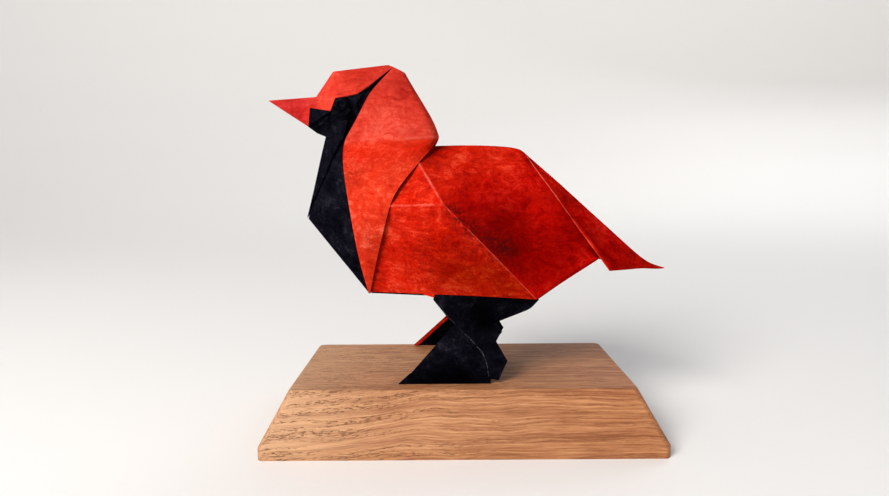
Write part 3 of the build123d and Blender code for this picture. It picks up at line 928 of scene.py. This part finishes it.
def rolled_eye(side):
    """Rolled corner of the sheet: a rim, a groove and a domed core."""
    mesh = bmesh.new()
    x, out, up = EYE_CENTRE
    outward = Vector((0, -side, 0))
    turn = outward.to_track_quat("Z", "Y").to_matrix().to_4x4()
    place = Matrix.Translation(at(x, side * out, up)) @ turn
    bmesh.ops.create_circle(mesh, cap_ends=True, segments=EYE_SIDES, radius=EYE_RADIUS * MM, matrix=place)
    bmesh.ops.recalc_face_normals(mesh, faces=mesh.faces)
    grown = bmesh.ops.extrude_face_region(mesh, geom=[mesh.faces[0]])["geom"]
    rim = [part for part in grown if isinstance(part, bmesh.types.BMVert)]
    caps = [part for part in grown if isinstance(part, bmesh.types.BMFace)]
    bmesh.ops.translate(mesh, verts=rim, vec=outward * EYE_LENGTH * MM)
    for width, step in EYE_RINGS:
        bmesh.ops.inset_region(mesh, faces=caps, thickness=width * MM, depth=step * MM, use_even_offset=True)
    bmesh.ops.recalc_face_normals(mesh, faces=mesh.faces)
    for face in mesh.faces:
        face.material_index = BLACK
        face.smooth = True
    data = bpy.data.meshes.new("eye")
    mesh.to_mesh(data)
    mesh.free()
    return data


def joined_flaps():
    """One mesh of every flap and both eyes."""
    flaps = [
        collar(),
        body(),
        belly(),
        tail(),
        chest(),
        throat_band(),
        crown(),
        mask(),
        face_folds(),
        far_turn(),
    ]
    for flap in near_leg():
        flaps += [flap.far_copy(), flap]
    pieces = [flap.finish() for flap in flaps] + [rolled_eye(1), rolled_eye(-1)]
    whole = bmesh.new()
    for piece in pieces:
        whole.from_mesh(piece)
        bpy.data.meshes.remove(piece)
    bmesh.ops.dissolve_degenerate(whole, edges=whole.edges, dist=NO_AREA)
    noise.seed_set(SWELL_SEED)
    for corner in whole.verts:
        corner.co += relaxed(corner.co)
    data = bpy.data.meshes.new("folded_bird_paper")
    whole.to_mesh(data)
    whole.free()
    for material in PAPERS:
        data.materials.append(material)
    return data


def mark_wear_and_painted_light(data):
    """Writes where the paper is rubbed, where the tail's edge takes a painted highlight and where painted shade
    lies, as attributes of its corners.
    """
    places = np.zeros(len(data.vertices) * 3)
    data.vertices.foreach_get("co", places)
    places = places.reshape(-1, 3)
    facing = np.zeros(len(data.vertices) * 3)
    data.vertex_normals.foreach_get("vector", facing)
    to_tail = facing.reshape(-1, 3)[:, 0]
    marks = {
        "fold_distance": distance_to_folds(places),
        "shade_blotches": spotted(places, SHADE_BLOTCH_SPOTS),
        "tailward_shade": spotted(places, TAILWARD_SHADE_SPOTS) * np.clip((to_tail - TURN_FROM) / TURN_OVER, 0, 1),
        "shade": spotted(places, SHADE_SPOTS) * np.clip((TURN_OVER - to_tail) / TURN_OVER, 0, 1),
    }
    for name, values in marks.items():
        data.attributes.new(name, "FLOAT", "POINT").data.foreach_set("value", values)


def folded_bird():
    data = joined_flaps()
    mark_wear_and_painted_light(data)
    data.set_sharp_from_angle(angle=math.radians(SHADING_ANGLE))
    bird = bpy.data.objects.new("folded_bird_paper", data)
    bpy.context.scene.collection.objects.link(bird)
    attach(bird, "root")
    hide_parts("folded_bird")


# Studio

# The floor and the sweep round it: distance from the middle and height, m
STAGE_PROFILE = [
    (0.0, 0.0),
    (0.9, 0.0),
    (1.3, 0.01),
    (1.65, 0.06),
    (1.95, 0.16),
    (2.2, 0.32),
    (2.38, 0.53),
    (2.5, 0.8),
    (2.55, 1.1),
    (2.55, 1.5),
]
STAGE_STEPS = 96
STAGE_SEAM = 1e-5  # m
PALE_FLOOR = (0.84, 0.825, 0.80, 1)
SKY = (0.90, 0.93, 1.0, 1)
SKY_STRENGTH = 0.30

SENSOR_WIDTH = 36.0  # mm
FOCAL_LENGTH = 650.0 / 889.0  # as a share of the picture's width
CAMERA_PLACE = (-0.0071, -0.2836, 0.1103)
CAMERA_DIP = 6.74  # degrees below level
CAMERA_ROLL = -0.36  # degrees


def stage():
    """Round pale studio: a flat floor that sweeps up all the way round."""
    mesh = bmesh.new()
    corners = [mesh.verts.new((x, 0, z)) for x, z in STAGE_PROFILE]
    edges = [mesh.edges.new(pair) for pair in zip(corners, corners[1:])]
    bmesh.ops.spin(
        mesh,
        geom=corners + edges,
        cent=(0, 0, 0),
        axis=(0, 0, 1),
        angle=math.tau,
        steps=STAGE_STEPS,
        use_merge=True,
    )
    bmesh.ops.remove_doubles(mesh, verts=mesh.verts, dist=STAGE_SEAM)
    for face in mesh.faces:
        face.smooth = True
    bmesh.ops.recalc_face_normals(mesh, faces=mesh.faces)
    if sum(face.normal.z for face in mesh.faces) < 0:
        bmesh.ops.reverse_faces(mesh, faces=mesh.faces)
    data = bpy.data.meshes.new("floor")
    mesh.to_mesh(data)
    mesh.free()
    paint = Paint("pale_floor")
    data.materials.append(paint.finish(Base_Color=PALE_FLOOR, Roughness=0.7))
    floor = bpy.data.objects.new("floor", data)
    bpy.context.scene.collection.objects.link(floor)


def soft_light(name, place, target, size, power, colour):
    """Rectangular studio light at a place, turned to a target."""
    light = bpy.data.lights.new(name, "AREA")
    light.shape = "RECTANGLE"
    light.size, light.size_y = size
    light.energy = power
    light.color = colour
    lamp = bpy.data.objects.new(name, light)
    lamp.location = place
    lamp.rotation_euler = (Vector(target) - Vector(place)).to_track_quat("-Z", "Y").to_euler()
    bpy.context.scene.collection.objects.link(lamp)


def camera():
    """Photograph's viewpoint: near the height of the bird's back, a little left of the board's centre."""
    lens = bpy.data.cameras.new("camera")
    lens.sensor_width = SENSOR_WIDTH
    lens.lens = FOCAL_LENGTH * SENSOR_WIDTH
    lens.clip_start = 0.01
    viewer = bpy.data.objects.new("camera", lens)
    viewer.location = CAMERA_PLACE
    tilt = Matrix.Rotation(math.radians(90 - CAMERA_DIP), 4, "X")
    roll = Matrix.Rotation(math.radians(CAMERA_ROLL), 4, "Z")
    viewer.rotation_euler = (tilt @ roll).to_euler()
    bpy.context.scene.collection.objects.link(viewer)
    bpy.context.scene.camera = viewer


def room():
    """Dim even light from all round, shown without a film curve."""
    world = bpy.data.worlds.new("room")
    world.use_nodes = True
    sky = world.node_tree.nodes["Background"].inputs
    sky["Color"].default_value = SKY
    sky["Strength"].default_value = SKY_STRENGTH
    bpy.context.scene.world = world
    bpy.context.scene.view_settings.view_transform = "Standard"


PAPERS = [
    red_paper("red_fibre_paper", DEEP_RED),
    black_paper(),
    cut_paper(),
    # paler, pinker copy of the red paper for the collar and head: painted light
    red_paper("lit_red_fibre_paper", ORANGE_RED, PINK_RED),
]
folded_bird()
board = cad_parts["oak_board"]
board.data.materials.clear()
board.data.materials.append(oak())
stage()
soft_light(
    "window",
    place=(-0.68, -0.88, 0.74),
    target=(0, 0, 0.08),
    size=(0.6, 0.6),
    power=22.6,
    colour=(1.0, 0.97, 0.94),
)
soft_light(
    "far_fill",
    place=(1.1, 1.3, 1.2),
    target=(0, 0, 0.08),
    size=(1.2, 1.2),
    power=9,
    colour=(0.94, 0.96, 1.0),
)
soft_light(
    "backdrop_wash",
    place=(0, 1.0, 1.5),
    target=(0, 2.5, 0.5),
    size=(2.4, 0.8),
    power=14,
    colour=(1.0, 0.98, 0.95),
)
room()
camera()
